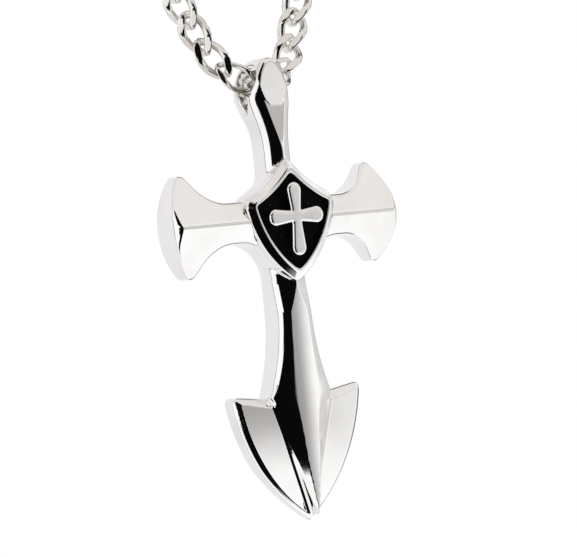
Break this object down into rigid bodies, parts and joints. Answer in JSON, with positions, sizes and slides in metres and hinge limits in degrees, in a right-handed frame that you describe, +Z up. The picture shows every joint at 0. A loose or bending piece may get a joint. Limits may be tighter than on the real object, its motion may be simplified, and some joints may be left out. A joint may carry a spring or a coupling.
{
  "type": "cross pendant necklace",
  "caption": "Polished steel cross pendant with an arrow foot and a black shield emblem, on a curb chain",
  "frame": {"origin": "on the skin at the nape, where the chain rests", "axes": "+Z up, -Y the wearer's front, +X the viewer's right"},
  "size_m": [0.1219, 0.1024, 0.1963],
  "materials": {
    "polished_steel": "polished stainless steel",
    "chain_steel": "polished stainless steel wire",
    "black_enamel": "gloss black fill"
  },
  "bodies": {
    "chain": {"chain_left": "chain_steel", "chain_right": "chain_steel", "left_ring": "chain_steel", "right_ring": "chain_steel", "clasp": "chain_steel"},
    "pendant": {"cross_body": "polished_steel", "shield": "polished_steel", "enamel_field": "black_enamel", "small_cross": "polished_steel"}
  },
  "joints": [
    {"name": "pendant_swing", "type": "hinge", "parent": "chain", "child": "pendant", "pos_m": [0, -0.09375, -0.14188], "axis": [1, 0, 0], "range_deg": [-30, 10]}
  ]
}
